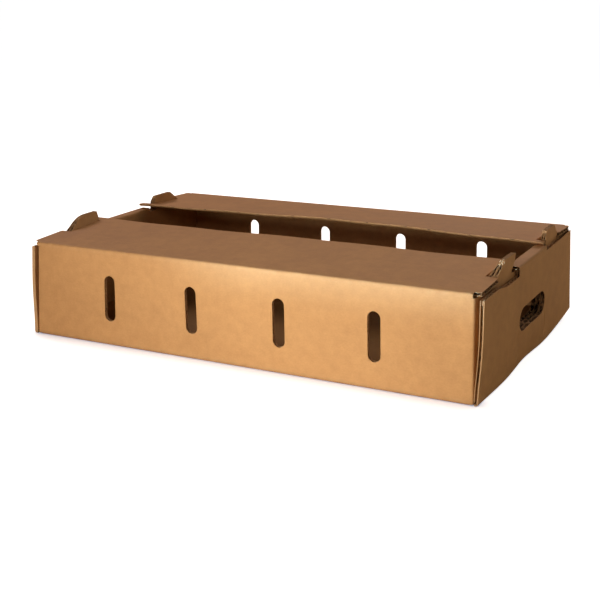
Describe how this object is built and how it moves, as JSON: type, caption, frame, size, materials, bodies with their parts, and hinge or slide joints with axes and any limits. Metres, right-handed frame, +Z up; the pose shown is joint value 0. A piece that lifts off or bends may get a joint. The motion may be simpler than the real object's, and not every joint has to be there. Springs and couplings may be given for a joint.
{
  "type": "corrugated cardboard tray",
  "caption": "Shallow kraft corrugated tray with roll-over ends, hand holes, upright vents in the long walls, stacking tabs and hinged top flaps around an open middle.",
  "frame": {"origin": "centre of the tray's outline on the table, at the underside of the floor", "axes": "+X along the long walls, +Y from the front wall to the back wall, +Z up"},
  "size_m": [0.5, 0.3, 0.1165],
  "materials": {
    "kraft_board": "matte kraft liner with fluted cut edges"
  },
  "bodies": {
    "tray": {"tray_body": "kraft_board"},
    "front_flap": {"front_flap": "kraft_board"},
    "back_flap": {"back_flap": "kraft_board"}
  },
  "joints": [
    {"name": "front_flap_fold", "type": "hinge", "parent": "tray", "child": "front_flap", "pos_m": [0, -0.15, 0.099], "axis": [1, 0, 0], "range_deg": [0, 175]},
    {"name": "back_flap_fold", "type": "hinge", "parent": "tray", "child": "back_flap", "pos_m": [0, 0.15, 0.099], "axis": [-1, 0, 0], "range_deg": [0, 175]}
  ]
}
